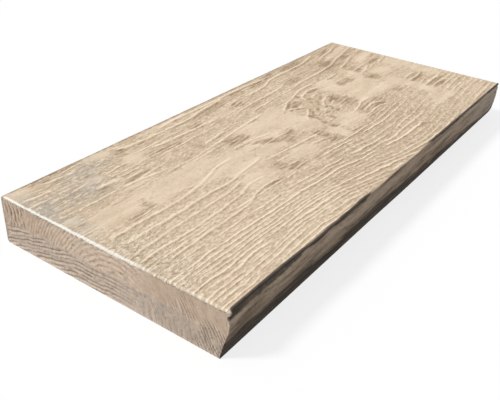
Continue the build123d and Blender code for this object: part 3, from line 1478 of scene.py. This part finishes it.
        walked = np.hypot(*np.diff(skin[len(x) // 2, :, 1:], axis=0).T)
        across = np.concatenate([[0.0], np.cumsum(walked)])
        skin_map = np.stack(np.broadcast_arrays(x[:, None], across[None, :]), axis=2)
        skin_map = skin_map + [self.length / 2.0 + self.map_gap, self.map_gap]
        quads = [self.quads(number)]
        corners = [self.corners(skin_map)]
        kinds = [self.kinds(len(x) - 1)]
        bed_edges = []
        for side, end, face in ((-1.0, 0, self.ends[0]), (1.0, -1, self.ends[1])):
            cap, relief = self.cap(skin[end], face, side)
            grid = np.zeros(cap.shape[:2], int)
            grid[0, :] = number[end, : self.side_rows + 1]
            grid[:, -1] = number[end, self.side_rows : self.side_rows + self.top_rows + 1]
            grid[-1, :] = number[end, self.side_rows + self.top_rows :][::-1]
            grid[1:-1, :-1] = total + np.arange(grid[1:-1, :-1].size).reshape(grid[1:-1, :-1].shape)
            total += grid[1:-1, :-1].size
            places.append(cap[1:-1, :-1].reshape(-1, 3))
            for mark in Mark:
                marks[mark].append(relief.marks[mark][1:-1, :-1].ravel())
            bed_edges.append(grid[:, 0])
            flip = 1 if side < 0.0 else -1
            quads.append(self.quads(grid.T)[:, ::flip])
            shift_x = self.map_gap + (side + 1.0) / 2.0 * (self.width + self.map_gap) + self.width / 2.0
            shift_z = across[-1] + 2.0 * self.map_gap
            end_map = cap[..., 1:] + [shift_x, shift_z]
            corners.append(self.corners(end_map.transpose(1, 0, 2))[:, ::flip])
            kinds.append(np.full(len(quads[-1]), Face.END.value))

        bed = np.concatenate([number[:, 0], bed_edges[1][1:-1], number[::-1, -1], bed_edges[0][-2:0:-1]])
        points = np.concatenate(places)
        bed_x = self.length / 2.0 + self.map_gap
        bed_y = across[-1] + self.thickness + 3.0 * self.map_gap + self.width / 2.0
        bed_map = points[bed][:, :2] + [bed_x, bed_y]

        mesh = bpy.data.meshes.new("coping_stone_cast")
        faces = [*np.concatenate(quads).tolist(), bed.tolist()]
        mesh.from_pydata((points * MM).tolist(), [], faces, shade_flat=False)
        mesh.polygons.foreach_set("material_index", [*np.concatenate(kinds).tolist(), Face.FORMED.value])
        for mark in Mark:
            values = np.concatenate(marks[mark]).astype(np.float32)
            mesh.attributes.new(mark.value, "FLOAT", "POINT").data.foreach_set("value", values)
        chart = np.concatenate([np.concatenate(corners).reshape(-1, 2), bed_map]) / self.map_size
        mesh.uv_layers.new(name="OFBake").uv.foreach_set("vector", chart.astype(np.float32).ravel())
        mesh.set_sharp_from_angle(angle=math.radians(self.sharp_angle))
        piece = bpy.data.objects.new("coping_stone_cast", mesh)
        bpy.context.scene.collection.objects.link(piece)
        return piece

    def dress(self, piece: bpy.types.Object) -> None:
        """Gives the block its finishes, and sets it in the place of its node.

        Args:
            piece: The block.
        """
        for face in Face:
            piece.data.materials.append(FINISHES[face].material())
        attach(piece, BODY)
        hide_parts(NODE)

    def kinds(self, columns: int) -> Field:
        """Gives the finish of each face of the skin, column by column."""
        back = np.full(self.side_rows, Face.FORMED.value)
        top = np.full(self.top_rows, Face.WALKING.value)
        nose = np.full(self.side_rows, Face.NOSE.value)
        return np.tile(np.concatenate([back, top, nose]), columns)

    @staticmethod
    def quads(number: Field) -> Field:
        """Gives the four vertices of each cell of a grid of vertex numbers."""
        corners = [number[:-1, :-1], number[:-1, 1:], number[1:, 1:], number[1:, :-1]]
        return np.stack(corners, axis=2).reshape(-1, 4)

    @staticmethod
    def corners(chart: Field) -> Field:
        """Gives the places on the map of the four corners of each cell of a grid."""
        corners = [chart[:-1, :-1], chart[:-1, 1:], chart[1:, 1:], chart[1:, :-1]]
        return np.stack(corners, axis=2).reshape(-1, 4, 2)


@dataclass
class Studio:
    """The floor, the light and the camera."""

    floor_half: float = 9.0
    floor_bounce: Colour = (0.10, 0.10, 0.10, 1.0)
    floor_colour: Colour = (0.99, 0.99, 0.99, 1.0)
    floor_glow: float = 0.8
    sky_level: float = 0.38
    key_from: tuple[float, float, float] = (-0.69, 0.55, 1.0)
    key_strength: float = 2.66
    key_spread: float = 12.0
    camera_at: tuple[float, float, float] = (-0.5998, -0.3442, 0.3639)
    camera_target: tuple[float, float, float] = (-0.1642, -0.0491, 0.05)
    camera_roll: float = 2.76
    camera_lens: float = 48.37
    camera_clip: float = 0.01

    @staticmethod
    def hidden_share(graph: FinishGraph) -> Signal:
        """Gives 0 for what is seen straight, in gloss or through glass, and 1 for light that only bounces."""
        straight, gloss, glass = (
            graph.node("ShaderNodeLightPath", output=name)
            for name in ("Is Camera Ray", "Is Glossy Ray", "Is Transmission Ray")
        )
        return (1.0 - straight) * (1.0 - gloss) * (1.0 - glass)

    def build_floor(self) -> bpy.types.Object:
        """Makes the pale floor, which keeps the block's shadow.

        Returns:
            The floor.
        """
        half = self.floor_half
        mesh = bpy.data.meshes.new("floor")
        corners = [(-half, -half, 0.0), (half, -half, 0.0), (half, half, 0.0), (-half, half, 0.0)]
        mesh.from_pydata(corners, [], [(0, 1, 2, 3)])
        made = bpy.data.materials.new("studio_floor")
        made.use_nodes = True
        graph = FinishGraph(made.node_tree)
        lit = graph.node("ShaderNodeBsdfDiffuse", None, {"Color": self.floor_colour})
        glow = graph.node("ShaderNodeEmission", None, {"Strength": 1.0})
        seen = graph.node("ShaderNodeMixShader", None, {0: self.floor_glow, 1: lit, 2: glow})
        bounce = graph.node("ShaderNodeBsdfDiffuse", None, {"Color": self.floor_bounce})
        shader = graph.node("ShaderNodeMixShader", None, {0: self.hidden_share(graph), 1: seen, 2: bounce})
        graph.node("ShaderNodeOutputMaterial", None, {"Surface": shader})
        mesh.materials.append(made)
        floor = bpy.data.objects.new("floor", mesh)
        bpy.context.scene.collection.objects.link(floor)
        return floor

    def build_light(self) -> None:
        """Makes the soft key light and the even light of the room."""
        lamp = bpy.data.lights.new("key", "SUN")
        lamp.energy = self.key_strength
        lamp.angle = math.radians(self.key_spread)
        key = bpy.data.objects.new("key", lamp)
        key.rotation_mode = "QUATERNION"
        key.rotation_quaternion = Vector(self.key_from).to_track_quat("Z", "Y")
        bpy.context.scene.collection.objects.link(key)
        world = bpy.data.worlds.new("studio")
        world.use_nodes = True
        graph = FinishGraph(world.node_tree)
        strength = 1.0 - self.hidden_share(graph) * (1.0 - self.sky_level)
        sky = graph.node("ShaderNodeBackground", None, {"Color": (1.0, 1.0, 1.0, 1.0), "Strength": strength})
        graph.node("ShaderNodeOutputWorld", None, {"Surface": sky})
        bpy.context.scene.world = world

    def build_camera(self) -> bpy.types.Object:
        """Makes the camera and looks through it.

        Returns:
            The camera.
        """
        lens = bpy.data.cameras.new("camera")
        lens.lens = self.camera_lens
        lens.clip_start = self.camera_clip
        camera = bpy.data.objects.new("camera", lens)
        camera.location = self.camera_at
        aim = (Vector(self.camera_target) - Vector(self.camera_at)).to_track_quat("-Z", "Y")
        camera.rotation_mode = "QUATERNION"
        camera.rotation_quaternion = aim @ Quaternion((0.0, 0.0, 1.0), math.radians(self.camera_roll))
        bpy.context.scene.collection.objects.link(camera)
        bpy.context.scene.camera = camera
        return camera


def main() -> None:
    """Builds the block and the studio round it."""
    logging.basicConfig(level=logging.INFO, format="%(message)s")
    bpy.context.scene.view_settings.view_transform = "Standard"
    stone = CopingStone.from_frame()
    piece = stone.build()
    stone.dress(piece)
    triangles = sum(len(face.vertices) - 2 for face in piece.data.polygons)
    log.info("%s: %d triangles", piece.name, triangles)
    studio = Studio()
    floor = studio.build_floor()
    studio.build_light()
    camera = studio.build_camera()
    log.info("studio: %s, %s", floor.name, camera.name)


if __name__ == "__main__":
    main()
